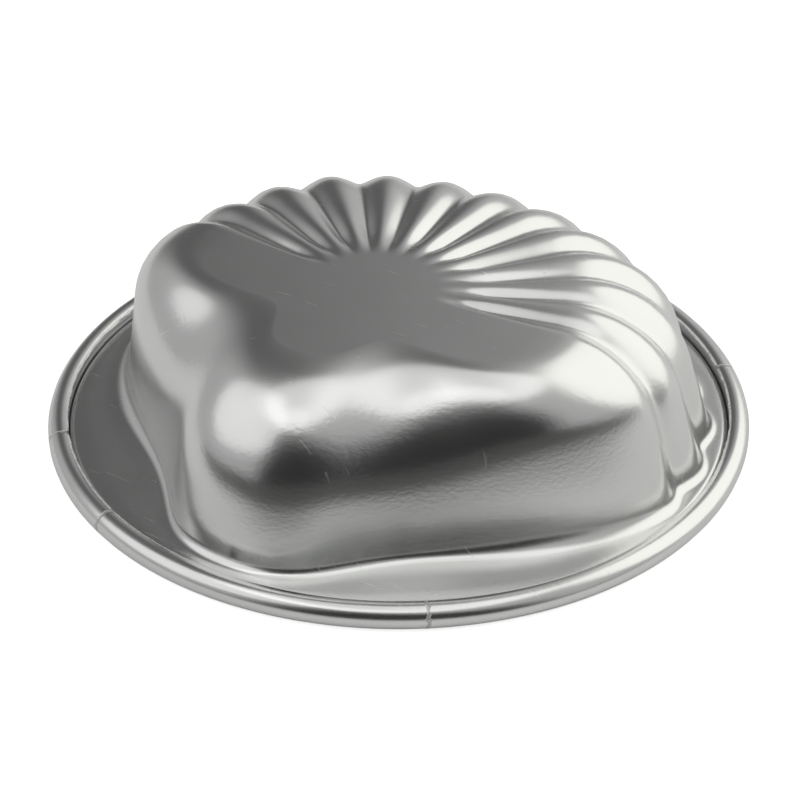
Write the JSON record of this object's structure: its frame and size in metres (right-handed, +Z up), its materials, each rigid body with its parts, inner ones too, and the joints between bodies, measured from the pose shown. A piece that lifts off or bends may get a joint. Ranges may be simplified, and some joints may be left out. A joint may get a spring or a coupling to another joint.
{
  "type": "madeleine pan",
  "caption": "Single shell-shaped cake mould pressed from thin aluminium, with ribs, a flat bottom and a rolled round rim.",
  "frame": {"origin": "centre of the round rim, on the plane that the rim rests on", "axes": "+Z up through the closed bottom of the cup, which lies mouth down; +Y towards the middle of the ribbed fan, with the nose of the shell at -Y"},
  "size_m": [0.08, 0.08, 0.0205],
  "materials": {
    "aluminium_sheet": "satin",
    "steel_wire": "satin"
  },
  "bodies": {
    "root": {"pressed_shell": "aluminium_sheet", "rim_wire": "steel_wire"}
  },
  "joints": []
}
